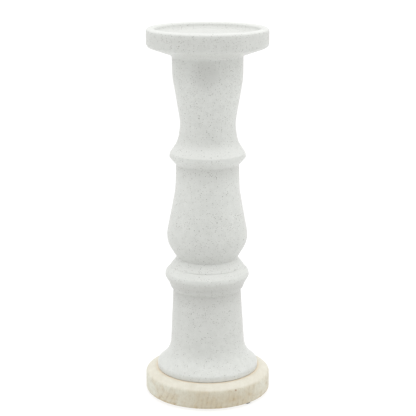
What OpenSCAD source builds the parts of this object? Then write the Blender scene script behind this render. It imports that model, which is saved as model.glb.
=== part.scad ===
// Candlestick for one pillar candle: a hollow stoneware column with a dish on top,
// screwed from below to a turned wood base that stands on three rubber feet.
// The origin is on the axis of the column, on the surface that the rubber feet rest on.

/* [Rubber feet] */
// Thickness of a rubber foot
rubber_t = 2; // [1.5:0.5:4]
// Diameter of a rubber foot
rubber_d = 9; // [6:1:11]
// Distance from the axis to the middle of a rubber foot
rubber_ring_r = 53.5; // [40:0.5:54]
// Direction of the first rubber foot, in degrees from +X
rubber_angle = -46; // [-90:1:90]

/* [Wood base] */
// Diameter of the base
base_d = 121; // [112:1:140]
// Thickness of the base at its middle
base_t = 22; // [18:0.5:26]
// Height over which the top of the base falls away to its side
base_fall_h = 4.5; // [3:0.5:6]
// Width over which the top of the base falls away to its side
base_fall_w = 7; // [5:0.5:9]
// Corner radius of the base's lower edge
base_edge_r = 2.2; // [1:0.2:3]

/* [Screws] */
// Number of screws through the base
screw_count = 4; // [3:1:6]
// Distance from the axis to a screw
screw_ring_r = 24; // [18:1:25]
// Diameter of a screw's shank
screw_d = 4; // [3.5:0.5:4.5]
// Length of a screw under its head
screw_l = 25; // [22:0.5:25.5]
// Depth of the counterbore for a screw's head
counterbore_depth = 8; // [6:0.5:10]
// Diameter of the counterbore for a screw's head
counterbore_d = 12; // [11:0.5:14]

/* [Stoneware wall and foot] */
// Thickness of the stoneware wall
wall = 6; // [5:0.5:7]
// Diameter of the foot
foot_d = 97.8; // [94:0.2:102]
// Height of the foot's upright edge
foot_edge_h = 5; // [4:0.5:6]
// Height of the flare from the foot's edge up to the lower column
flare_h = 12; // [11:0.2:14]
// Thickness of the gasket ring between the foot and the base
gasket_t = 0.4; // [0.4:0.2:1.6]

/* [Lower column] */
// Diameter of the lower column at its bottom
column_bottom_d = 72.4; // [70:0.2:76]
// Diameter of the lower column at its top
column_top_d = 65.8; // [64:0.2:68]
// Height of the lower column
column_h = 62.2; // [50:0.1:90]

/* [Lower bead] */
// Diameter of the ring under the lower bead
ring_d = 73.2; // [72.2:0.2:74.2]
// Height of the ring under the lower bead
ring_h = 7.2; // [6.8:0.1:8.5]
// Diameter of the lower bead
lower_bead_d = 81.2; // [79:0.2:84]
// Height of the lower bead
lower_bead_h = 17.5; // [16.5:0.5:19]
// Diameter of the waist above the lower bead
waist_d = 58; // [56:0.2:61]
// Height of the collar from the lower bead up to the waist
collar_h = 7; // [6:0.5:9]

/* [Bulb] */
// Diameter that the bulb's two long sides are drawn to
bulb_d = 80; // [78:0.2:84]
// Height of the bulb from the waist to the upper bead
bulb_h = 91.4; // [86:0.2:110]
// Diameter under the upper bead
bulb_top_d = 60.2; // [58:0.2:62]

/* [Upper bead and neck] */
// Diameter of the upper bead
upper_bead_d = 72.8; // [71.2:0.2:75]
// Height of the upper bead
upper_bead_h = 10.9; // [10:0.1:12.5]
// Diameter that the neck's narrowest part is drawn to
neck_waist_d = 52; // [50:0.2:54]
// Diameter of the neck under the dish
neck_top_d = 66.8; // [64.6:0.2:69]
// Height of the neck from the upper bead to the dish
neck_h = 92.1; // [88:0.1:110]

/* [Dish] */
// Diameter of the dish over its rim
dish_d = 114; // [110:1:130]
// Height of the sloping underside of the dish
dish_slope_h = 8.3; // [7.5:0.1:10]
// Height of the dish's upright side
dish_side_h = 17; // [16:0.5:20]
// Width of the rim
rim_w = 7; // [6.6:0.2:9]
// Depth of the recess that the candle stands in
recess_depth = 6; // [4.5:0.5:7]

/* [Hidden] */
$fn = 96;

// Largest turn, in degrees, between two straight pieces of an arc
arc_step = 7;

// Levels above the surface that the candlestick stands on
base_z = rubber_t;
base_top_z = base_z + base_t;
foot_z = base_top_z + gasket_t;

// Levels above the foot of the stoneware
column_z = foot_edge_h + flare_h;
ring_z = column_z + column_h;
lower_bead_z = ring_z + ring_h;
collar_z = lower_bead_z + lower_bead_h;
waist_z = collar_z + collar_h;
upper_bead_z = waist_z + bulb_h;
neck_z = upper_bead_z + upper_bead_h;
dish_z = neck_z + neck_h;
dish_edge_z = dish_z + dish_slope_h;
rim_z = dish_edge_z + dish_side_h;
floor_z = rim_z - recess_depth;

// Where the lower bead, the bulb and the neck change direction, above their lower ends
lower_bead_under = 5.4;
lower_bead_low = 7.1;
lower_bead_high = 11;
bulb_belly = 18;
bulb_shoulder = 67.1;
bulb_shoulder_r = bulb_top_d / 2 + 0.6;
upper_bead_widest = 7.3;
cove_rise = 11.2;
cove_r = neck_waist_d / 2 + 2.3;
neck_waist_rise = 28.2;
neck_shoulder_rise = 70.9;

// Fine groove that ends the lower bead, where the collar to the waist starts
groove_r = waist_d / 2 + 5.2;
groove_lip = 0.8;
groove_depth = 0.5;

// Mouth of the stoneware foot, and the taper inside it that the plug is bonded to
mouth_r = foot_d / 2 - wall;
taper_bottom = [mouth_r, 2.6];
taper_top = [column_bottom_d / 2 - wall, column_z - 2.2];
bond_t = 1;
bond_from = 1.5;
bond_to = 12;

// Candle recess
recess_wall_lean = 2.5;
recess_corner_r = 5;
rim_corner_r = 3.2;

// Screw heads and washers
head_d = 8;
head_h = 2.4;
tip_h = 4;
washer_d = 10;
washer_t = 1;
screw_clearance = 0.6;

function flat(p) = [p.x, p.y];
function toward(p, q) = (flat(q) - flat(p)) / norm(flat(q) - flat(p));
function turned(p, angle) = [p.x * cos(angle) - p.y * sin(angle), p.x * sin(angle) + p.y * cos(angle)];

// Corner b of an outline, between the points a and c, as an arc of the radius b.z
function corner(a, b, c) =
    let (
        to_a = toward(b, a),
        to_c = toward(b, c),
        opening = acos(to_a * to_c),
        centre = flat(b) + (to_a + to_c) / norm(to_a + to_c) * b.z / sin(opening / 2),
        start = flat(b) + to_a * b.z / tan(opening / 2) - centre,
        sweep = (180 - opening) * (cross(to_a, to_c) > 0 ? -1 : 1),
        steps = ceil(abs(sweep) / arc_step)
    )
    [for (i = [0 : steps]) centre + turned(start, sweep * i / steps)];

// Outline given as points [radius, level, corner radius]. A corner radius of 0 leaves the corner sharp.
function rounded(outline) = [
    for (i = [0 : len(outline) - 1])
        each outline[i].z == 0
            ? [flat(outline[i])]
            : corner(outline[i - 1], outline[i], outline[i + 1])
];

// Point on the taper inside the foot, a distance along it from the bottom and off it towards the axis
function on_taper(along, off) =
    let (dir = toward(taper_bottom, taper_top))
    taper_bottom + dir * along + [-dir.y, dir.x] * off;

function outside() = [
    [foot_d / 2 - 2, 0, 0],
    [foot_d / 2, 0, 0.5],
    [foot_d / 2, foot_edge_h, 3],
    [column_bottom_d / 2, column_z, 26],
    [column_top_d / 2, ring_z, 0.6],
    [ring_d / 2 - 1.3, ring_z + 3.1, 1.6],
    [ring_d / 2, lower_bead_z - 0.2, 0.4],
    [ring_d / 2 + 0.1, lower_bead_z + 0.2, 0.2],
    [lower_bead_d / 2 - 0.9, lower_bead_z + lower_bead_under, 2],
    [lower_bead_d / 2, lower_bead_z + lower_bead_low, 1.4],
    [lower_bead_d / 2 - 0.6, lower_bead_z + lower_bead_high, 4.5],
    [groove_r + groove_lip, collar_z - 0.9, 0.25],
    [groove_r - groove_depth, collar_z, 0.2],
    [groove_r, collar_z + 1, 0.25],
    [waist_d / 2, waist_z, 0.5],
    [bulb_d / 2, waist_z + bulb_belly, 25],
    [bulb_shoulder_r, waist_z + bulb_shoulder, 95],
    [bulb_top_d / 2, upper_bead_z, 0.8],
    [upper_bead_d / 2, upper_bead_z + upper_bead_widest, 1.4],
    [upper_bead_d / 2 - 0.5, neck_z, 3.6],
    [cove_r, neck_z + cove_rise, 26],
    [neck_waist_d / 2, neck_z + neck_waist_rise, 44],
    [neck_top_d / 2 - 0.2, neck_z + neck_shoulder_rise, 64],
    [neck_top_d / 2, dish_z, 3],
    [dish_d / 2, dish_edge_z, 4.5],
    [dish_d / 2, rim_z, rim_corner_r],
    [dish_d / 2 - rim_w, rim_z, rim_corner_r],
    [dish_d / 2 - rim_w - recess_wall_lean, floor_z, recess_corner_r],
    [0, floor_z, 0]
];

// The cavity runs from under the dish down to the mouth of the foot, one wall inside the outside
function cavity() =
    let (
        roof_z = floor_z - wall,
        pocket_r = dish_d / 2 - wall - 3,
        pocket_z = roof_z - 2
    )
    [
        [0, roof_z, 0],
        [pocket_r, roof_z, 0.6],
        [pocket_r, pocket_z, 0.6],
        [neck_top_d / 2 - wall, dish_z + wall / 2 + 1.2, 3],
        [neck_top_d / 2 - wall, neck_z + neck_shoulder_rise, 58],
        [neck_waist_d / 2 - wall, neck_z + neck_waist_rise, 50],
        [cove_r - wall, neck_z + cove_rise, 20],
        [upper_bead_d / 2 - wall - 0.8, neck_z - 1, 4],
        [bulb_top_d / 2 - wall, upper_bead_z - 1, 7],
        [bulb_shoulder_r - wall, waist_z + bulb_shoulder, 90],
        [bulb_d / 2 - wall, waist_z + bulb_belly, 18],
        [waist_d / 2 - wall, waist_z, 6],
        [lower_bead_d / 2 - wall, lower_bead_z + 8.6, 5],
        [column_top_d / 2 - wall, ring_z, 8],
        [taper_top.x, taper_top.y, 10],
        [taper_bottom.x, taper_bottom.y, 1.2],
        [mouth_r, 0, 0]
    ];

module stoneware_body() {
    color("gainsboro")
        translate([0, 0, foot_z])
            rotate_extrude()
                polygon(concat(rounded(outside()), rounded(cavity())));
}

// Plywood plug, turned to the taper of the foot, that takes the screws
module foot_plug() {
    low = on_taper(bond_from, bond_t);
    high = on_taper(bond_to, bond_t);
    color("burlywood")
        translate([0, 0, foot_z])
            difference() {
                rotate_extrude()
                    polygon([[0, 0.4], [low.x, 0.4], low, high, [0, high.y]]);
                at_screws()
                    translate([0, 0, base_z - foot_z + counterbore_depth - washer_t])
                        cylinder(d = screw_d, h = screw_l);
            }
}

// Hardened glue between the plug and the stoneware
module plug_bond() {
    color("khaki")
        translate([0, 0, foot_z])
            rotate_extrude()
                polygon([
                    on_taper(bond_from, 0),
                    on_taper(bond_to, 0),
                    on_taper(bond_to, bond_t),
                    on_taper(bond_from, bond_t)
                ]);
}

// Thin ring that beds the fired foot on the wood, set back from the foot's edge
module foot_gasket() {
    color("dimgray")
        translate([0, 0, base_top_z])
            difference() {
                cylinder(r = foot_d / 2 - 0.6, h = gasket_t);
                translate([0, 0, -1])
                    cylinder(r = mouth_r + 0.5, h = gasket_t + 2);
            }
}

module wood_base() {
    color("antiquewhite")
        difference() {
            translate([0, 0, base_z])
                rotate_extrude()
                    polygon(rounded([
                        [0, 0, 0],
                        [base_d / 2, 0, base_edge_r],
                        [base_d / 2, base_t - base_fall_h, 3.5],
                        [base_d / 2 - base_fall_w, base_t, 6],
                        [0, base_t, 0]
                    ]));
            at_screws()
                cylinder(d = screw_d + screw_clearance, h = 2 * base_top_z);
            at_screws()
                cylinder(d = counterbore_d, h = base_z + counterbore_depth);
        }
}

// Round-headed wood screws, head down
module base_screws() {
    under_head_z = base_z + counterbore_depth - washer_t;
    color("silver")
        at_screws()
            translate([0, 0, under_head_z])
                rotate_extrude()
                    polygon(rounded([
                        [0, -head_h, 0],
                        [head_d / 2, -head_h, 1.4],
                        [head_d / 2, 0, 0],
                        [screw_d / 2, 0, 0],
                        [screw_d / 2, screw_l - tip_h, 0],
                        [0, screw_l, 0]
                    ]));
}

module screw_washers() {
    color("lightgray")
        at_screws()
            translate([0, 0, base_z + counterbore_depth - washer_t])
                difference() {
                    cylinder(d = washer_d, h = washer_t);
                    translate([0, 0, -1])
                        cylinder(d = screw_d + screw_clearance, h = washer_t + 2);
                }
}

// Self-adhesive rubber foot, one of three at equal steps around the base
module rubber_foot(index) {
    color("black")
        rotate(rubber_angle + 120 * index)
            translate([rubber_ring_r, 0, 0])
                rotate_extrude()
                    polygon(rounded([
                        [0, 0, 0],
                        [rubber_d / 2 - 0.4, 0, 0.6],
                        [rubber_d / 2, rubber_t, 0],
                        [0, rubber_t, 0]
                    ]));
}

module at_screws() {
    for (i = [0 : screw_count - 1])
        rotate(45 + 360 / screw_count * i)
            translate([screw_ring_r, 0, 0])
                children();
}

stoneware_body();
foot_plug();
plug_bond();
foot_gasket();
wood_base();
base_screws();
screw_washers();
rubber_foot(0);  // rubber_foot_right
rubber_foot(1);  // rubber_foot_rear
rubber_foot(2);  // rubber_foot_left
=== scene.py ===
"""A candlestick for a pillar candle: a speckled stoneware column and dish on a whitewashed wood base.

Lengths are in millimetres, and levels are above the surface that the candlestick stands on, except where a
comment says otherwise. Meshes are written to Blender in metres.
"""
import math

import bmesh
import bpy
from mathutils import Matrix, Vector, noise


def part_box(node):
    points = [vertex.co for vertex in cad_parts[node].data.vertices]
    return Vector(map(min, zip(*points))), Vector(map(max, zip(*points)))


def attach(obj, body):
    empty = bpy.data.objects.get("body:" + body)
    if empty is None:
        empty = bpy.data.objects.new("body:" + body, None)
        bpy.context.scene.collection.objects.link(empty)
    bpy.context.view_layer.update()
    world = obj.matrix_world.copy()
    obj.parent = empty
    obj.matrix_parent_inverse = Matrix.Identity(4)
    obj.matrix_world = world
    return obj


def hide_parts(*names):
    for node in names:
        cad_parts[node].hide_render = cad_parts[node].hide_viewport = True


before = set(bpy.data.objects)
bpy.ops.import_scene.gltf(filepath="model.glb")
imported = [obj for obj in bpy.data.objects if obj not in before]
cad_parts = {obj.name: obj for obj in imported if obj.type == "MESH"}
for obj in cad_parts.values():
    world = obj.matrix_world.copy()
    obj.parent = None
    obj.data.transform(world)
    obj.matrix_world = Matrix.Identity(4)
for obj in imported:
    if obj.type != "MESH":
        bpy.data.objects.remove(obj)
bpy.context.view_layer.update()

MM = 0.001

# An arc is drawn in steps of this angle, but no step is shorter or longer than these lengths
ARC_STEP = math.radians(6)
ARC_SHORTEST, ARC_LONGEST = 0.12, 2.2

# Steps round the axis of the large turned pieces
ROUND_STEPS = 192

# An edge that turns by more than this is shaded as a sharp one
SHARP_ANGLE = math.radians(32)


def node_box(node):
    """Lowest and highest corner of a CAD node, in millimetres."""
    lo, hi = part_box(node)
    return lo / MM, hi / MM


base_lo, base_hi = node_box("wood_base")
body_lo, body_hi = node_box("stoneware_body")
plug_lo = node_box("foot_plug")[0]
gasket_lo, gasket_hi = node_box("foot_gasket")
screw_lo, screw_hi = node_box("base_screws")
washer_lo, washer_hi = node_box("screw_washers")

BASE_R = base_hi.x
DISH_R = body_hi.x
FOOT_Z = body_lo.z
RIM_Z = body_hi.z

# Four screws on a square, worked out from the outermost edge of their washers
WASHER_R = 5.0
SCREW_SPOTS = [
    (sx * (washer_hi.x - WASHER_R), sy * (washer_hi.y - WASHER_R))
    for sx in (-1, 1)
    for sy in (-1, 1)
]


# ---------------------------------------------------------------------------------------------------------
# Outlines and meshes
# ---------------------------------------------------------------------------------------------------------


def corner(before, at, after):
    """A corner of an outline as points on an arc.

    A corner is (radius, level, corner radius), and a corner radius of 0 leaves it sharp.
    """
    point = Vector(at[:2])
    if at[2] == 0:
        return [point]
    to_before = (Vector(before[:2]) - point).normalized()
    to_after = (Vector(after[:2]) - point).normalized()
    opening = to_before.angle(to_after)
    centre = point + (to_before + to_after).normalized() * at[2] / math.sin(opening / 2)
    start = point + to_before * at[2] / math.tan(opening / 2) - centre
    turn = -1 if to_before.x * to_after.y > to_before.y * to_after.x else 1
    sweep = (math.pi - opening) * turn
    length = abs(sweep) * at[2]
    fine = min(abs(sweep) / ARC_STEP, length / ARC_SHORTEST)
    steps = max(2, math.ceil(max(fine, length / ARC_LONGEST)))
    return [centre + Matrix.Rotation(sweep * i / steps, 2) @ start for i in range(steps + 1)]


def rounded(outline, longest=3.0):
    """Points of an outline with its corners rounded, in straight steps no longer than `longest`."""
    turning = []
    for i, at in enumerate(outline):
        turning += corner(outline[i - 1], at, outline[(i + 1) % len(outline)])
    points = [turning[0]]
    for point in turning[1:]:
        start = points[-1].copy()
        steps = max(1, math.ceil((point - start).length / longest))
        points += [start.lerp(point, (i + 1) / steps) for i in range(steps)]
    return points


def turn_outline(mesh, points, centre=(0, 0), segments=64, closed=False, material=0, shape=None):
    """Adds an outline of (radius, level) points, turned round an upright axis, to a bmesh.

    shape(radius, angle, level) gives a vertex's place where the form isn't exactly round.
    """
    rings = []
    for radius, level in points:
        count = 1 if radius < 1e-4 else segments
        ring = []
        for i in range(count):
            angle = 2 * math.pi * i / segments
            place = Vector((radius * math.cos(angle), radius * math.sin(angle), level))
            if shape:
                place = shape(radius, angle, level)
            ring.append(mesh.verts.new((place + Vector((*centre, 0))) * MM))
        rings.append(ring)
    pairs = list(zip(rings, rings[1:]))
    if closed:
        pairs.append((rings[-1], rings[0]))
    for low, high in pairs:
        for i in range(segments):
            j = (i + 1) % segments
            around = [low[i % len(low)], low[j % len(low)], high[j % len(high)], high[i % len(high)]]
            corners = list(dict.fromkeys(around))
            if len(corners) > 2:
                mesh.faces.new(corners).material_index = material
    return rings


def as_object(mesh, name, *materials):
    """Makes an object of a bmesh, smooth apart from its sharp edges."""
    bmesh.ops.recalc_face_normals(mesh, faces=mesh.faces)
    data = bpy.data.meshes.new(name)
    mesh.to_mesh(data)
    mesh.free()
    data.shade_smooth()
    data.set_sharp_from_angle(angle=SHARP_ANGLE)
    for material in materials:
        data.materials.append(material)
    obj = bpy.data.objects.new(name, data)
    bpy.context.scene.collection.objects.link(obj)
    return obj


def carve(obj, cutter):
    """Cuts the cutter's shape out of obj and removes the cutter."""
    cut = obj.modifiers.new("cut", "BOOLEAN")
    cut.operation = "DIFFERENCE"
    cut.solver = "EXACT"
    cut.object = cutter
    graph = bpy.context.evaluated_depsgraph_get()
    carved = bpy.data.meshes.new_from_object(obj.evaluated_get(graph))
    obj.modifiers.clear()
    obj.data = carved
    carved.shade_smooth()
    carved.set_sharp_from_angle(angle=SHARP_ANGLE)
    bpy.data.objects.remove(cutter)


def stands_for(obj, node):
    """The piece rides on the one body and is shown instead of a CAD node."""
    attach(obj, "root")
    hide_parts(node)
    return obj


# ---------------------------------------------------------------------------------------------------------
# Material nodes
# ---------------------------------------------------------------------------------------------------------


class Finish:
    """A node material whose patterns are laid out in millimetres of the object's own space."""

    def __init__(self, name, **surface):
        self.material = bpy.data.materials.new(name)
        self.material.use_nodes = True
        self.tree = self.material.node_tree
        self.tree.nodes.clear()
        self.surface = self.node("ShaderNodeBsdfPrincipled")
        for key, value in surface.items():
            self.surface.inputs[key.replace("_", " ")].default_value = value
        output = self.node("ShaderNodeOutputMaterial")
        self.tree.links.new(self.surface.outputs["BSDF"], output.inputs["Surface"])
        here = self.node("ShaderNodeTexCoord")
        self.place = self.stretched(1 / MM, 1 / MM, 1 / MM, place=here.outputs["Object"])
        parts = self.node("ShaderNodeSeparateXYZ", {0: self.place})
        self.x, self.y, self.z = parts.outputs[0], parts.outputs[1], parts.outputs[2]
        self.facing_up = self.node("ShaderNodeSeparateXYZ", {0: here.outputs["Normal"]}).outputs[2]

    def node(self, kind, inputs=None, **settings):
        """Makes a node. An input is linked where it is given a socket, and set where it is given a value."""
        made = self.tree.nodes.new(kind)
        for key, value in settings.items():
            setattr(made, key, value)
        for key, value in (inputs or {}).items():
            if isinstance(value, bpy.types.NodeSocket):
                self.tree.links.new(value, made.inputs[key])
            else:
                made.inputs[key].default_value = value
        return made

    def math(self, operation, *values):
        return self.node("ShaderNodeMath", dict(enumerate(values)), operation=operation).outputs[0]

    def total(self, *values):
        result = values[0]
        for value in values[1:]:
            result = self.math("ADD", result, value)
        return result

    def times(self, *values):
        result = values[0]
        for value in values[1:]:
            result = self.math("MULTIPLY", result, value)
        return result

    def between(self, value, low, high, to_low=0.0, to_high=1.0, smooth=True):
        """Maps low..high to to_low..to_high, held at the ends."""
        kind = "SMOOTHSTEP" if smooth else "LINEAR"
        settings = {0: value, 1: low, 2: high, 3: to_low, 4: to_high}
        return self.node("ShaderNodeMapRange", settings, interpolation_type=kind).outputs[0]

    def vector(self, operation, place, other):
        return self.node("ShaderNodeVectorMath", {0: place, 1: other}, operation=operation)

    def stretched(self, x, y, z, place=None):
        """The place, with each axis multiplied."""
        return self.vector("MULTIPLY", place or self.place, (x, y, z)).outputs["Vector"]

    def away_from(self, spot, place=None):
        """Distance from a spot."""
        return self.vector("DISTANCE", place or self.place, spot).outputs["Value"]

    def noise(self, size, place=None, detail=2.0, rough=0.5, shift=0.0):
        """Noise from 0 to 1 whose blotches are about `size` across."""
        inputs = {"Vector": place or self.place, "Scale": 1 / size, "Detail": detail, "Roughness": rough}
        made = self.node("ShaderNodeTexNoise", inputs, noise_dimensions="4D")
        made.inputs["W"].default_value = shift
        return made.outputs["Fac"]

    def mix(self, amount, low, high):
        """The colour low where amount is 0, and high where it is 1."""
        made = self.node("ShaderNodeMix", {0: amount}, data_type="RGBA")
        for socket, value in ((made.inputs[6], low), (made.inputs[7], high)):
            if isinstance(value, bpy.types.NodeSocket):
                self.tree.links.new(value, socket)
            else:
                socket.default_value = (*value, 1)
        return made.outputs[2]

    def ramp(self, amount, stops):
        """A value that runs through (position, value) stops."""
        made = self.node("ShaderNodeValToRGB", {0: amount})
        elements = made.color_ramp.elements
        for spare in list(elements)[1:]:
            elements.remove(spare)
        for i, (position, value) in enumerate(stops):
            element = elements[0] if i == 0 else elements.new(position)
            element.position = position
            element.color = (value, value, value, 1)
        return made.outputs[0]

    def specks(self, spacing, smallest, largest, density, soft=0.08, place=None):
        """Round specks, one at most in each cell of a loose lattice.

        Returns their cover, from 0 to 1, and a random value for each.
        """
        inputs = {"Vector": place or self.place, "Scale": 1 / spacing, "Randomness": 1.0}
        cells = self.node("ShaderNodeTexVoronoi", inputs)
        chance = self.node("ShaderNodeSeparateColor", {0: cells.outputs["Color"]})
        radius = self.between(chance.outputs[1], 0.0, 1.0, smallest, largest, smooth=False)
        inside = self.math("SUBTRACT", radius, self.times(cells.outputs["Distance"], spacing))
        cover = self.between(inside, -soft, soft)
        chosen = self.math("LESS_THAN", chance.outputs[0], density)
        return self.times(cover, chosen), chance.outputs[2]

    def bump(self, height, under=None):
        """Adds relief, as a height in millimetres."""
        inputs = {"Height": height, "Distance": MM, "Strength": 1.0}
        if under:
            inputs["Normal"] = under
        return self.node("ShaderNodeBump", inputs).outputs["Normal"]

    def wear(self, **sockets):
        """Links the surface's sockets."""
        for key, value in sockets.items():
            self.tree.links.new(value, self.surface.inputs[key.replace("_", " ")])
        return self.material


# ---------------------------------------------------------------------------------------------------------
# Stoneware
# ---------------------------------------------------------------------------------------------------------

# Levels above the foot where the outline changes
FLARE_Z = 17.0
RING_Z = 79.2
LOWER_BEAD_Z = 86.4
COLLAR_Z = 103.9
WAIST_Z = 110.9
UPPER_BEAD_Z = 202.3
NECK_Z = 213.2
DISH_Z = 305.3
DISH_EDGE_Z = 313.6
RIM_H = RIM_Z - FOOT_Z
RECESS_H = 6.0
DISH_FLOOR_T = 6.0
FLOOR_H = RIM_H - RECESS_H
ROOF_H = FLOOR_H - DISH_FLOOR_T

# Corners are (radius, level above the foot, corner radius). The outside runs from the foot up to the middle
# of the dish floor, and the cavity runs from under the dish down to the mouth in the foot.
OUTSIDE = [
    # Foot and lower column
    (46.9, 0, 0),
    (48.9, 0, 0.5),
    (48.9, 5.0, 3),
    (36.2, FLARE_Z, 26),
    # Ring
    (32.9, RING_Z, 0.6),
    (35.3, RING_Z + 3.1, 1.6),
    (36.6, LOWER_BEAD_Z - 0.2, 0.4),
    # Lower bead and the groove above it
    (36.7, LOWER_BEAD_Z + 0.2, 0.2),
    (39.7, LOWER_BEAD_Z + 5.4, 2),
    (40.6, LOWER_BEAD_Z + 7.1, 1.4),
    (40.0, LOWER_BEAD_Z + 11.0, 4.5),
    (35.9, COLLAR_Z - 2.1, 0.3),
    (34.9, COLLAR_Z - 1.3, 0.4),
    (34.9, COLLAR_Z - 0.3, 0.3),
    # Waist and bulb
    (29.0, WAIST_Z, 0.5),
    (40.0, WAIST_Z + 18.0, 25),
    (30.7, WAIST_Z + 67.1, 95),
    # Upper bead
    (30.1, UPPER_BEAD_Z, 0.8),
    (36.4, UPPER_BEAD_Z + 7.3, 1.4),
    (35.9, NECK_Z, 3.6),
    # Neck
    (28.3, NECK_Z + 11.2, 26),
    (26.0, NECK_Z + 28.2, 44),
    (33.2, NECK_Z + 70.9, 64),
    # Dish
    (33.4, DISH_Z, 3),
    (DISH_R, DISH_EDGE_Z, 4.5),
    (DISH_R, RIM_H, 3.2),
    (DISH_R - 7, RIM_H, 3.2),
    (DISH_R - 9.5, FLOOR_H, 5),
    (0, FLOOR_H, 0),
]
CAVITY = [
    # Dish
    (0, ROOF_H, 0),
    (48, ROOF_H, 0.6),
    (48, ROOF_H - 2, 0.6),
    (27.4, DISH_Z + 4.2, 3),
    # Neck
    (27.4, NECK_Z + 70.9, 58),
    (20.0, NECK_Z + 28.2, 50),
    (22.3, NECK_Z + 11.2, 20),
    # Upper bead
    (29.6, NECK_Z - 1, 4),
    (24.1, UPPER_BEAD_Z - 1, 7),
    # Bulb and waist
    (24.7, WAIST_Z + 67.1, 90),
    (34.0, WAIST_Z + 18.0, 18),
    (23.0, WAIST_Z, 6),
    # Lower bead
    (34.6, LOWER_BEAD_Z + 8.6, 5),
    (26.9, RING_Z, 8),
    # Flare and mouth
    (30.2, FLARE_Z - 2.2, 10),
    (42.9, 2.6, 1.2),
    (42.9, 0, 0),
]

# How far the cast leans and how uneven it is. Both fade in above the flare and fade out under the dish.
LEAN = 0.55
UNEVEN = 0.18
FADE_IN_H, FADE_OUT_H = 60, 40

# It leans to one side most at this level above the foot, and to the other side on the neck
LEAN_LOW_H = 60

# Rough size of its unevenness
SWELL_W, RIPPLE_W = 38, 15


def hand_cast(radius, angle, level):
    """Place of a point of the slip-cast form: it leans a little, and its surface is slightly uneven."""
    height = level - FOOT_Z
    place = Vector((radius * math.cos(angle), radius * math.sin(angle), level))
    rising = min(1.0, max(0.0, (height - FLARE_Z) / FADE_IN_H))
    falling = min(1.0, max(0.0, (DISH_Z - height) / FADE_OUT_H))
    free = rising * falling
    free = free * free * (3 - 2 * free)
    place.x -= free * LEAN * math.cos(math.pi * (height - LEAN_LOW_H) / (NECK_Z + LEAN_LOW_H))
    swell = noise.noise(place / SWELL_W) + 0.5 * noise.noise(place / RIPPLE_W)
    shrink = 1 - free * UNEVEN * (0.8 + 0.5 * swell) / max(radius, 20)
    return Vector((place.x * shrink, place.y * shrink, level))


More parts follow.
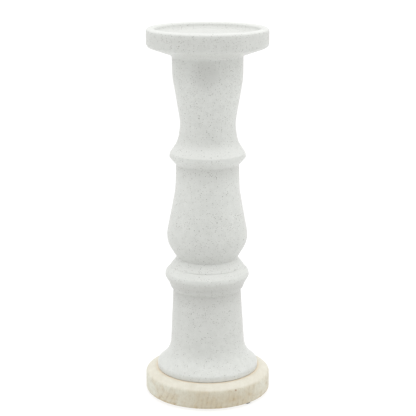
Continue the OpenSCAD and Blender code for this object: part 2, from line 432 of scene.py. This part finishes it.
def glaze():
    """Matt white glaze over speckled stoneware. The glaze pools where the outline turns in. There, under
    edges, on the lower column and on the side of the dish it is also painted greyer as painted shade, and
    more specks show there too. Faces that look up are painted lighter, as painted top light, and a painted
    shadow lies high on the front of the neck.
    """
    f = Finish("speckled glaze", IOR=1.5, Specular_IOR_Level=0.42, Coat_Weight=0.25, Coat_Roughness=0.28)

    def at(height):
        """A level above the foot, as a share of the whole height."""
        return (FOOT_Z + height) / RIM_Z

    level = f.math("DIVIDE", f.z, RIM_Z)

    # 1 where the outline has a crease or lies just under an edge, and on the lower column and the side of
    # the dish. The glaze pools in each crease, and the grey mixed in here also paints the shade that falls
    # in these places
    pooling_and_painted_shade = f.ramp(
        level,
        [
            (0.0, 0.0),
            (at(4), 0.05),
            (at(14), 0.0),
            (at(28), 0.30),
            (at(RING_Z - 14), 0.50),
            (at(RING_Z), 1.0),
            (at(RING_Z + 3), 0.80),
            (at(LOWER_BEAD_Z), 1.0),
            (at(LOWER_BEAD_Z + 4), 0.80),
            (at(LOWER_BEAD_Z + 7), 0.55),
            (at(LOWER_BEAD_Z + 9.5), 0.0),
            (at(COLLAR_Z - 2.4), 0.0),
            (at(COLLAR_Z - 1.2), 0.2),
            (at(COLLAR_Z), 0.0),
            (at(WAIST_Z - 1), 0.1),
            (at(WAIST_Z + 0.5), 0.5),
            (at(WAIST_Z + 9), 0.52),
            (at(WAIST_Z + 22), 0.32),
            (at(WAIST_Z + 46), 0.08),
            (at(UPPER_BEAD_Z - 16), 0.05),
            (at(UPPER_BEAD_Z), 0.5),
            (at(UPPER_BEAD_Z + 5), 0.05),
            (at(NECK_Z + 20), 0.12),
            (at(NECK_Z + 55), 0.0),
            (at(DISH_Z), 0.30),
            (at(DISH_Z + 4), 0.30),
            (at(DISH_EDGE_Z + 5), 0.42),
            (at(RIM_H - 5), 0.42),
            (at(RIM_H - 1.5), 0.0),
            (1.0, 0.0),
        ],
    )
    # Share of the surface where specks come through, by level. It is highest in each crease and under edges,
    # so the specks also paint shade there
    speck_share_and_shade = f.ramp(
        level,
        [
            (0.0, 0.04),
            (at(14), 0.08),
            (at(40), 0.42),
            (at(LOWER_BEAD_Z), 0.9),
            (at(LOWER_BEAD_Z + 8), 0.25),
            (at(WAIST_Z), 0.6),
            (at(WAIST_Z + 25), 0.55),
            (at(UPPER_BEAD_Z - 10), 0.5),
            (at(UPPER_BEAD_Z), 0.9),
            (at(UPPER_BEAD_Z + 7), 0.25),
            (at(NECK_Z + 20), 0.6),
            (at(NECK_Z + 50), 0.9),
            (at(DISH_Z), 0.8),
            (at(DISH_EDGE_Z), 0.45),
            (at(RIM_H - 5), 0.85),
            (1.0, 0.15),
        ],
    )
    # 1 on faces that look up, more so the higher they are: the glaze is painted whiter there, as painted
    # light from above
    painted_top_light = f.times(f.between(f.facing_up, 0.15, 0.75), f.between(f.z, 70, 215))
    cloud = f.noise(42, detail=3)
    mottle = f.noise(4.5, detail=3, rough=0.6, shift=3)
    grain = f.noise(0.9, detail=2, rough=0.7, shift=7)

    density = f.total(f.times(speck_share_and_shade, 0.50), f.between(cloud, 0.35, 0.7, 0.0, 0.25))
    # Fewer specks on faces that look up, which adds to the painted top light
    density = f.times(density, f.between(painted_top_light, 0.0, 1.0, 1.0, 0.45))
    fine, fine_tone = f.specks(1.15, 0.13, 0.38, f.times(density, 1.2))
    coarse, coarse_tone = f.specks(4.2, 0.28, 0.56, f.times(density, 0.42), soft=0.15)
    dust, _ = f.specks(0.75, 0.06, 0.20, 0.55, soft=0.05)

    wall = f.mix(f.between(mottle, 0.3, 0.7), (0.640, 0.653, 0.622), (0.690, 0.703, 0.673))
    # Faces that look up are painted whiter: painted top light
    white = f.mix(painted_top_light, wall, (0.790, 0.802, 0.773))
    white = f.mix(f.between(grain, 0.35, 0.75, 0.0, 0.20), white, (0.56, 0.57, 0.54))
    # Greyer where the glaze pools, and painted shade in each crease, under edges, on the lower column and on
    # the side of the dish
    pooled_and_painted_shade = f.mix(f.times(pooling_and_painted_shade, 0.55), white, (0.43, 0.43, 0.405))

    # A soft grey spot high on the front of the neck, under the dish: painted shade from the dish and a
    # painted dark reflection
    from_neck_shade = f.away_from((-2.5, -33.0, FOOT_Z + NECK_Z + 76))
    painted_neck_shade = f.times(f.between(from_neck_shade, 6, 17, 1.0, 0.0), f.between(mottle, 0.2, 0.8, 0.6, 1.0))
    with_neck_shade = f.mix(f.times(painted_neck_shade, 0.28), pooled_and_painted_shade, (0.42, 0.42, 0.40))

    dusted = f.mix(f.times(dust, 0.38), with_neck_shade, (0.33, 0.325, 0.305))
    fine_colour = f.mix(fine_tone, (0.13, 0.125, 0.11), (0.42, 0.405, 0.375))
    speckled = f.mix(f.times(fine, 0.86), dusted, fine_colour)
    coarse_colour = f.mix(coarse_tone, (0.15, 0.14, 0.12), (0.40, 0.38, 0.35))
    colour = f.mix(f.times(coarse, 0.85), speckled, coarse_colour)

    roughness = f.between(mottle, 0.25, 0.75, 0.44, 0.58)
    skin = f.bump(f.times(f.noise(2.6, detail=2, shift=5), 0.035))
    pits = f.bump(f.times(f.math("MAXIMUM", fine, coarse), -0.05), skin)
    fine_skin = f.bump(f.times(grain, 0.012), pits)
    return f.wear(Base_Color=colour, Roughness=roughness, Normal=fine_skin)


def bare_clay():
    """Unglazed stoneware, as inside the cast and on the foot."""
    f = Finish("bare stoneware", IOR=1.45, Specular_IOR_Level=0.25)
    mottle = f.noise(9, detail=4, rough=0.6)
    grain = f.noise(0.7, detail=3, rough=0.7, shift=2)
    specks, tone = f.specks(1.6, 0.12, 0.4, 0.4)
    clay = f.mix(f.between(mottle, 0.3, 0.7), (0.60, 0.545, 0.46), (0.70, 0.65, 0.57))
    clay = f.mix(f.between(grain, 0.4, 0.8, 0.0, 0.4), clay, (0.50, 0.44, 0.36))
    colour = f.mix(f.times(specks, 0.8), clay, f.mix(tone, (0.12, 0.09, 0.07), (0.30, 0.24, 0.19)))
    rough = f.between(grain, 0.2, 0.8, 0.82, 0.95)
    return f.wear(Base_Color=colour, Roughness=rough, Normal=f.bump(f.times(grain, 0.06)))


def build_body():
    mesh = bmesh.new()
    glazed = [(p.x, p.y + FOOT_Z) for p in rounded(OUTSIDE, 3.5)]
    inner = [(p.x, p.y + FOOT_Z) for p in rounded(CAVITY, 8)]
    glazed_rings = turn_outline(mesh, glazed, segments=ROUND_STEPS, shape=hand_cast)
    inner_rings = turn_outline(mesh, inner, segments=ROUND_STEPS, material=1, shape=hand_cast)
    mouth, foot = inner_rings[-1], glazed_rings[0]
    for i in range(len(foot)):
        j = (i + 1) % len(foot)
        mesh.faces.new((mouth[i], mouth[j], foot[j], foot[i])).material_index = 1
    body = as_object(mesh, "stoneware", glaze(), bare_clay())
    return stands_for(body, "stoneware_body")


# ---------------------------------------------------------------------------------------------------------
# Wood base
# ---------------------------------------------------------------------------------------------------------

BASE_FALL_H = 4.5
BASE_FALL_W = 7.0
COUNTERBORE_R = 6.0
COUNTERBORE_TOP = washer_hi.z
CLEARANCE_R = 2.3
COUNTERBORE_CHAMFER = 0.5

# Places on the side where the whitewash has worn through: degrees from the front, height on the base, reach
WORN_PLACES = [
    (-46, 14.5, 7.5),
    (3, 12.0, 8.0),
    (14, 3.5, 11.0),
    (20, 16.5, 6.0),
    (71, 10.0, 8.0),
    (160, 7.0, 10.0),
]


def whitewashed_wood():
    """Pale wood, its grain running front to back, under whitewash that is thin on the ends and edges. The
    side is painted darker in its middle and towards the bottom and lighter to left and right, as painted
    shade and light. Painted shade also lies along the bottom edge and round the foot.
    """
    f = Finish("whitewashed wood", IOR=1.45, Specular_IOR_Level=0.3)

    # Growth rings round a pith far to one side, so that they stand upright on the ends of the board
    warp = f.noise(26, place=f.stretched(1, 0.12, 1), detail=2)
    from_pith = f.math(
        "SQRT",
        f.total(
            f.math("POWER", f.math("SUBTRACT", f.x, -128.0), 2.0),
            f.math("POWER", f.math("SUBTRACT", f.z, 46.0), 2.0),
        ),
    )
    ring_at = f.total(f.math("DIVIDE", from_pith, 4.6), f.times(warp, 1.6))
    ring = f.math("FRACT", ring_at)
    late = f.times(f.between(ring, 0.35, 0.92), f.between(ring, 0.94, 1.0, 1.0, 0.0))

    fibres = f.noise(0.55, place=f.stretched(1, 0.035, 1), detail=3, rough=0.65, shift=1)
    pores, pore_tone = f.specks(1.1, 0.06, 0.17, 0.5, soft=0.05, place=f.stretched(1, 0.09, 1))
    blotch = f.noise(17, place=f.stretched(1, 0.6, 1), detail=3, rough=0.6, shift=4)
    streak = f.noise(3.6, place=f.stretched(1, 0.5, 0.9), detail=4, rough=0.65, shift=9)

    tan = f.mix(late, (0.50, 0.405, 0.235), (0.36, 0.265, 0.135))
    tan = f.mix(f.between(fibres, 0.35, 0.7, 0.0, 0.6), tan, (0.62, 0.48, 0.33))
    tan = f.mix(f.times(pores, 0.8), tan, (0.11, 0.065, 0.035))

    # 0 on the flat top, 1 down the side
    out = f.math("SQRT", f.total(f.math("POWER", f.x, 2.0), f.math("POWER", f.y, 2.0)))
    side = f.between(f.z, base_hi.z - 5.2, base_hi.z - 2.6, 1.0, 0.0)
    side = f.times(side, f.between(out, BASE_R - 6, BASE_R - 2))
    end_grain = f.times(side, f.between(f.math("ABSOLUTE", f.y), 14, 44))
    top_edge = f.times(
        f.between(f.z, base_hi.z - 6.4, base_hi.z - 4.4),
        f.between(f.z, base_hi.z - 4.0, base_hi.z - 2.6, 1.0, 0.0),
    )
    # The whitewash wears thin along the bottom edge, and the darker wood there also paints the shade under
    # the base's lower edge
    low_edge_wear_and_shade = f.between(f.z, base_lo.z + 0.8, base_lo.z + 4.2, 1.0, 0.0)

    # Worn places are half as high as they are wide
    worn = 0.0
    for degrees, height, reach in WORN_PLACES:
        turn = math.radians(degrees)
        spot = (BASE_R * math.sin(turn), -BASE_R * math.cos(turn), 2 * (base_lo.z + height))
        from_spot = f.away_from(spot, place=f.stretched(1, 1, 2))
        worn = f.total(worn, f.between(from_spot, 0.2 * reach, reach, 1.0, 0.0))
    lower = f.between(f.z, base_lo.z + 8, base_hi.z - 5, 1.0, 0.15)
    thin = f.total(
        f.times(f.between(blotch, 0.40, 0.72), 0.50),
        f.times(f.between(streak, 0.46, 0.76), lower, f.total(f.times(end_grain, 0.50), 0.08)),
        f.times(top_edge, f.between(streak, 0.5, 0.75), 0.25),
        f.times(low_edge_wear_and_shade, f.between(blotch, 0.35, 0.7, 0.1, 0.55)),
        f.times(pores, f.total(f.times(end_grain, 0.30), 0.12)),
        f.times(late, 0.03),
        f.times(worn, side, f.between(streak, 0.40, 0.66), 0.42),
    )
    bare = f.times(thin, f.total(f.times(side, 0.72), 0.16))
    bare = f.math("MINIMUM", f.total(bare, f.times(f.between(fibres, 0.4, 0.7), 0.05)), 0.86)

    wash_tone = f.noise(7, detail=3, rough=0.6, shift=12)
    wash = f.mix(f.between(wash_tone, 0.3, 0.7), (0.708, 0.683, 0.588), (0.756, 0.733, 0.644))
    # The side is painted darker in its middle and lighter to left and right: painted shade, and painted
    # light from the side lamps
    painted_side_light = f.between(f.math("ABSOLUTE", f.math("SUBTRACT", f.x, 8.0)), 12, 55)
    side_wash_and_painted_light = f.mix(painted_side_light, (0.622, 0.590, 0.480), (0.722, 0.727, 0.645))
    wash = f.mix(f.times(side, 0.85), wash, side_wash_and_painted_light)
    # The lower side is painted darker, most in its middle: painted shade
    painted_low_shade = f.times(side, lower, f.between(painted_side_light, 0.0, 1.0, 0.40, 0.08))
    wash = f.mix(painted_low_shade, wash, (0.560, 0.505, 0.385))
    mottle = f.noise(1.5, place=f.stretched(1, 0.2, 0.5), detail=3, rough=0.7, shift=15)
    mottled = f.times(f.between(mottle, 0.38, 0.68), f.total(f.times(side, 0.26), 0.05))
    washed = f.mix(bare, f.mix(mottled, wash, (0.47, 0.42, 0.30)), tan)

    # A fine warm line of painted shade runs round the stoneware foot where it meets the wood, and there is
    # one small knot on the side
    painted_contact_shade = f.times(f.between(out, 49.2, 52.4, 1.0, 0.0), f.between(f.z, base_hi.z - 0.6, base_hi.z - 0.2))
    with_contact_shade = f.mix(f.times(painted_contact_shade, 0.60), washed, (0.79, 0.66, 0.49))
    from_knot = f.away_from((26.9, -54.2, base_hi.z - 4.8))
    knot = f.between(f.total(from_knot, f.times(fibres, 0.6)), 0.9, 1.7, 1.0, 0.0)
    colour = f.mix(f.times(knot, 0.7), with_contact_shade, (0.30, 0.15, 0.08))

    rough = f.between(f.total(bare, f.times(fibres, 0.3)), 0.0, 0.8, 0.72, 0.58)
    relief = f.total(
        f.times(fibres, 0.05),
        f.times(pores, -0.12),
        f.times(bare, -0.05),
        f.times(late, 0.03),
    )
    brush = f.bump(f.times(f.noise(1.3, place=f.stretched(1, 0.2, 0.5), detail=2, shift=8), 0.03))
    return f.wear(Base_Color=colour, Roughness=rough, Normal=f.bump(relief, brush))


def build_base():
    low, high = base_lo.z, base_hi.z
    outline = [
        (0, low, 0),
        (BASE_R, low, 2.2),
        (BASE_R, high - BASE_FALL_H, 3.5),
        (BASE_R - BASE_FALL_W, high, 6),
        (0, high, 0),
    ]
    mesh = bmesh.new()
    turn_outline(mesh, rounded(outline, 2.5), segments=ROUND_STEPS)
    wood = as_object(mesh, "turned_base", whitewashed_wood())
    cutters = bmesh.new()
    for spot in SCREW_SPOTS:
        hole = [
            (0, low - 2),
            (COUNTERBORE_R + COUNTERBORE_CHAMFER + 2, low - 2),
            (COUNTERBORE_R, low + COUNTERBORE_CHAMFER),
            (COUNTERBORE_R, COUNTERBORE_TOP),
            (CLEARANCE_R, COUNTERBORE_TOP),
            (CLEARANCE_R, high + 1),
            (0, high + 1),
        ]
        turn_outline(cutters, hole, centre=spot, segments=48)
    carve(wood, as_object(cutters, "counterbores"))
    return stands_for(wood, "wood_base")


# ---------------------------------------------------------------------------------------------------------
# Foot: plug, glue and gasket
# ---------------------------------------------------------------------------------------------------------


GASKET_W = 4.9
PLY_PAIR_T = 2.8


def plywood():
    """Birch plywood, its plies lying flat."""
    f = Finish("plywood", IOR=1.45, Specular_IOR_Level=0.3, Roughness=0.68)
    pair = f.math("FRACT", f.math("DIVIDE", f.math("SUBTRACT", f.z, plug_lo.z), PLY_PAIR_T))
    cross_ply = f.math("GREATER_THAN", pair, 0.5)
    in_ply = f.math("FRACT", f.times(pair, 2.0))
    from_middle = f.math("ABSOLUTE", f.math("SUBTRACT", in_ply, 0.5))
    clear_of_glue = f.math("LESS_THAN", from_middle, 0.46)
    along = f.noise(0.6, place=f.stretched(0.05, 1, 1), detail=3, rough=0.7)
    across = f.noise(0.5, place=f.stretched(1, 0.05, 1), detail=3, rough=0.7, shift=4)
    face = f.mix(f.between(along, 0.3, 0.7), (0.70, 0.53, 0.33), (0.58, 0.40, 0.22))
    inner = f.mix(f.between(across, 0.3, 0.7), (0.52, 0.34, 0.18), (0.42, 0.26, 0.13))
    plies = f.mix(cross_ply, face, inner)
    colour = f.mix(clear_of_glue, (0.16, 0.09, 0.05), plies)
    return f.wear(Base_Color=colour, Normal=f.bump(f.times(along, 0.06)))


def epoxy():
    """Hardened glue: smooth and amber, with a few bubbles."""
    f = Finish("epoxy", IOR=1.52, Coat_Weight=0.4, Coat_Roughness=0.1)
    cloud = f.noise(8, detail=3)
    bubbles, _ = f.specks(2.2, 0.1, 0.45, 0.4)
    body = f.mix(f.between(cloud, 0.3, 0.7), (0.66, 0.50, 0.22), (0.78, 0.64, 0.36))
    colour = f.mix(f.times(bubbles, 0.7), body, (0.90, 0.86, 0.74))
    relief = f.total(f.times(bubbles, 0.08), f.times(cloud, 0.15))
    rough = f.between(cloud, 0.2, 0.8, 0.18, 0.34)
    return f.wear(Base_Color=colour, Roughness=rough, Normal=f.bump(relief))


def rubber(name, colour, dusty):
    """Moulded rubber with a fine grain and a little dust."""
    f = Finish(name, IOR=1.5, Specular_IOR_Level=0.3)
    grain = f.noise(0.35, detail=3, rough=0.7)
    dust = f.noise(3.5, detail=4, rough=0.7, shift=3)
    colour = f.mix(f.between(dust, 0.5, 0.8, 0.0, 0.35), colour, dusty)
    rough = f.between(grain, 0.2, 0.8, 0.62, 0.80)
    return f.wear(Base_Color=colour, Roughness=rough, Normal=f.bump(f.times(grain, 0.03)))


def build_gasket():
    outer = gasket_hi.x
    inner = outer - GASKET_W
    outline = [
        (inner, gasket_lo.z, 0),
        (outer, gasket_lo.z, 0.1),
        (outer, gasket_hi.z, 0.1),
        (inner, gasket_hi.z, 0),
    ]
    mesh = bmesh.new()
    turn_outline(mesh, rounded(outline, 2), segments=ROUND_STEPS, closed=True)
    off_white = rubber("gasket rubber", (0.60, 0.59, 0.55), (0.47, 0.455, 0.42))
    gasket = as_object(mesh, "gasket", off_white)
    return stands_for(gasket, "foot_gasket")


def dress(node, material):
    """A CAD node that keeps its shape gets a better material."""
    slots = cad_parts[node].data.materials
    for i in range(len(slots)):
        slots[i] = material


# ---------------------------------------------------------------------------------------------------------
# Screws, washers and rubber feet
# ---------------------------------------------------------------------------------------------------------


def zinc(name):
    """Bright zinc plate, slightly clouded, with fine scratches."""
    f = Finish(name, Metallic=1.0, IOR=2.0)
    cloud = f.noise(2.4, detail=4, rough=0.6)
    scratch = f.noise(0.25, place=f.stretched(1, 0.12, 1), detail=2, shift=6)
    colour = f.mix(f.between(cloud, 0.3, 0.7), (0.60, 0.60, 0.59), (0.72, 0.725, 0.73))
    colour = f.mix(f.between(cloud, 0.62, 0.8, 0.0, 0.5), colour, (0.66, 0.60, 0.47))
    rough = f.between(f.total(cloud, f.times(scratch, 0.5)), 0.4, 1.1, 0.24, 0.46)
    return f.wear(Base_Color=colour, Roughness=rough, Normal=f.bump(f.times(scratch, 0.008)))


HEAD_R = 4.0
HEAD_H = 2.4
CORE_R = 1.45
THREAD_R = 2.0
PITCH = 1.8
PLAIN_SHANK_H = 3.0
NECKED_H = 0.4
TIP_H = 4.0

# An arm of the cross slot: half the width and length of its cutter outside the head, and the share of them
# that is left at the slot's bottom
SLOT_HALF_W, SLOT_HALF_L = 0.55, 2.3
SLOT_BOTTOM = 0.55
SLOT_DEPTH = 1.5


def screw_shape(under_head):
    """Returns what places a screw's points, with a thread wound round its core."""
    thread_from = under_head + PLAIN_SHANK_H
    end = screw_hi.z

    def place(radius, angle, level):
        if level > thread_from and 0 < radius < CORE_R + 0.1:
            turn = (level - under_head) / PITCH - angle / (2 * math.pi)
            ridge = max(0.0, 1 - abs((turn % 1) - 0.5) / 0.24)
            fade_in = min(1.0, (level - thread_from) / PITCH)
            fade_out = min(1.0, max(0.0, (end - level) / TIP_H))
            radius += (THREAD_R - CORE_R) * ridge * fade_in * fade_out
        return Vector((radius * math.cos(angle), radius * math.sin(angle), level))

    return place


def build_screws():
    head_z, end = screw_lo.z, screw_hi.z
    under_head = head_z + HEAD_H
    plain_to = under_head + PLAIN_SHANK_H
    necked_to = plain_to + NECKED_H
    head = [(0, head_z, 0), (HEAD_R, head_z, 1.4), (HEAD_R, under_head, 0.15), (THREAD_R, under_head, 0)]
    plain = [(THREAD_R, under_head, 0), (THREAD_R, plain_to, 0), (CORE_R, necked_to, 0)]
    threaded = [(CORE_R, necked_to, 0), (CORE_R, end - TIP_H, 0), (0.25, end - 0.2, 0), (0, end, 0)]
    points = [*rounded(head, 0.8), *rounded(plain, 0.5)[1:], *rounded(threaded, 0.2)[1:]]
    mesh = bmesh.new()
    for spot in SCREW_SPOTS:
        turn_outline(mesh, points, centre=spot, segments=40, shape=screw_shape(under_head))
    screws = as_object(mesh, "wood_screws", zinc("zinc plate"))
    # The two arms of the cross are cut one after the other, because a cutter must not cross itself
    for half_x, half_y in ((SLOT_HALF_W, SLOT_HALF_L), (SLOT_HALF_L, SLOT_HALF_W)):
        slots = bmesh.new()
        for spot in SCREW_SPOTS:
            for v in bmesh.ops.create_cube(slots, size=2)["verts"]:
                share = SLOT_BOTTOM if v.co.z > 0 else 1.0
                at = Vector((v.co.x * half_x * share, v.co.y * half_y * share, v.co.z * SLOT_DEPTH))
                v.co = (at + Vector((*spot, head_z))) * MM
        carve(screws, as_object(slots, "slots"))
    return stands_for(screws, "base_screws")


WASHER_HOLE_R = 2.3


def build_washers():
    low, high = washer_lo.z, washer_hi.z
    outline = [
        (WASHER_HOLE_R, low, 0.15),
        (WASHER_R, low, 0.25),
        (WASHER_R, high, 0.15),
        (WASHER_HOLE_R, high, 0.1),
    ]
    mesh = bmesh.new()
    for spot in SCREW_SPOTS:
        turn_outline(mesh, rounded(outline, 0.6), centre=spot, segments=56, closed=True)
    washers = as_object(mesh, "washers", zinc("zinc washer plate"))
    return stands_for(washers, "screw_washers")


RUBBER_R = 4.5


def build_rubber_feet():
    black = rubber("black rubber", (0.022, 0.022, 0.022), (0.16, 0.155, 0.145))
    for side in ("right", "rear", "left"):
        node = f"rubber_foot_{side}"
        lo, hi = node_box(node)
        centre = ((lo.x + hi.x) / 2, (lo.y + hi.y) / 2)
        outline = [
            (0, lo.z, 0),
            (RUBBER_R - 1.1, lo.z, 0),
            (RUBBER_R - 0.45, lo.z + 0.5, 0.3),
            (RUBBER_R, hi.z, 0.1),
            (0, hi.z, 0),
        ]
        mesh = bmesh.new()
        turn_outline(mesh, rounded(outline, 0.6), centre=centre, segments=64)
        foot = as_object(mesh, f"bumper_{side}", black)
        stands_for(foot, node)


# ---------------------------------------------------------------------------------------------------------
# Studio: lengths in metres, except in the floor
# ---------------------------------------------------------------------------------------------------------

AIM_Z = 0.18

# Strength of the sky overhead, behind the object and at its sides
SKY_TOP = 1.16
SKY_BACK = 0.48
SKY_SIDES = 0.42

SUN_STRENGTH = 0.50
SUN_SPREAD = math.radians(40)
SUN_TILT = math.radians(25)

BOX_SIZE = (1.0, 1.3)
LEFT_BOX, LEFT_WATTS = (-1.5, -0.35, 0.75), 2.7
RIGHT_BOX, RIGHT_WATTS = (1.5, -0.25, 0.75), 3.3

CAMERA_PLACE = (0.0004, -1.1327, 0.4722)
CAMERA_DIP = math.radians(14.31)
LENS, SENSOR_W = 105.8, 36


def soft_box(name, place, watts):
    light = bpy.data.lights.new(name, "AREA")
    light.shape = "RECTANGLE"
    light.size, light.size_y = BOX_SIZE
    light.energy = watts
    obj = bpy.data.objects.new(name, light)
    obj.location = place
    obj.rotation_euler = (Vector((0, 0, AIM_Z)) - Vector(place)).to_track_quat("-Z", "Y").to_euler()
    obj.visible_camera = False
    bpy.context.scene.collection.objects.link(obj)


def floor():
    """A pale table top, partly lit from under it, so that shadows on it are faint."""
    glow = {"Emission_Color": (1, 1, 1, 1), "Emission_Strength": 0.72}
    f = Finish("studio floor", IOR=1.45, Specular_IOR_Level=0.15, **glow)
    tone = f.noise(260, detail=3)
    colour = f.mix(f.between(tone, 0.3, 0.7), (0.30, 0.30, 0.30), (0.315, 0.315, 0.315))
    grain = f.noise(3, detail=3)
    material = f.wear(Base_Color=colour, Roughness=f.between(grain, 0.2, 0.8, 0.8, 0.9))
    mesh = bmesh.new()
    rings = [(r, 0.0) for r in (0, 150, 400, 1000, 3000, 12000)]
    turn_outline(mesh, rings, segments=96)
    ground = as_object(mesh, "floor", material)


def light_studio():
    """A sky that is brightest overhead, less so behind and at the sides, and dark in front.

    The camera sees it as white, so that the floor has no horizon.
    """
    world = bpy.data.worlds.new("studio")
    bpy.context.scene.world = world
    world.use_nodes = True
    tree = world.node_tree
    background = tree.nodes["Background"]
    background.inputs["Color"].default_value = (1, 1, 1, 1)

    def node(kind, inputs, **settings):
        made = tree.nodes.new(kind)
        for key, value in settings.items():
            setattr(made, key, value)
        for key, value in inputs.items():
            if isinstance(value, bpy.types.NodeSocket):
                tree.links.new(value, made.inputs[key])
            else:
                made.inputs[key].default_value = value
        return made.outputs[0]

    direction = tree.nodes.new("ShaderNodeTexCoord").outputs["Generated"]
    towards = node("ShaderNodeSeparateXYZ", {0: direction}).node
    aside = node("ShaderNodeMath", {0: towards.outputs[0]}, operation="ABSOLUTE")
    behind = node("ShaderNodeMath", {0: towards.outputs[1], 1: 0.0}, operation="MAXIMUM")
    above = node("ShaderNodeMath", {0: towards.outputs[2], 1: 0.0}, operation="MAXIMUM")
    sky = node("ShaderNodeMath", {0: aside, 1: SKY_SIDES}, operation="MULTIPLY")
    sky = node("ShaderNodeMath", {0: behind, 1: SKY_BACK, 2: sky}, operation="MULTIPLY_ADD")
    sky = node("ShaderNodeMath", {0: above, 1: SKY_TOP, 2: sky}, operation="MULTIPLY_ADD")
    seen = tree.nodes.new("ShaderNodeLightPath").outputs["Is Camera Ray"]
    strength = node("ShaderNodeMath", {0: sky, 1: seen}, operation="MAXIMUM")
    tree.links.new(strength, background.inputs["Strength"])

    lamp = bpy.data.lights.new("overhead", "SUN")
    lamp.energy = SUN_STRENGTH
    lamp.angle = SUN_SPREAD
    overhead = bpy.data.objects.new("overhead", lamp)
    overhead.rotation_euler = (SUN_TILT, 0, 0)
    bpy.context.scene.collection.objects.link(overhead)
    soft_box("left_box", LEFT_BOX, LEFT_WATTS)
    soft_box("right_box", RIGHT_BOX, RIGHT_WATTS)


def place_camera():
    data = bpy.data.cameras.new("camera")
    data.sensor_width = SENSOR_W
    data.lens = LENS
    camera = bpy.data.objects.new("camera", data)
    camera.location = CAMERA_PLACE
    camera.rotation_euler = (math.radians(90) - CAMERA_DIP, 0, 0)
    bpy.context.scene.collection.objects.link(camera)
    bpy.context.scene.camera = camera


build_body()
build_base()
build_gasket()
dress("foot_plug", plywood())
dress("plug_bond", epoxy())
build_screws()
build_washers()
build_rubber_feet()
floor()
light_studio()
place_camera()
bpy.context.scene.view_settings.view_transform = "Standard"
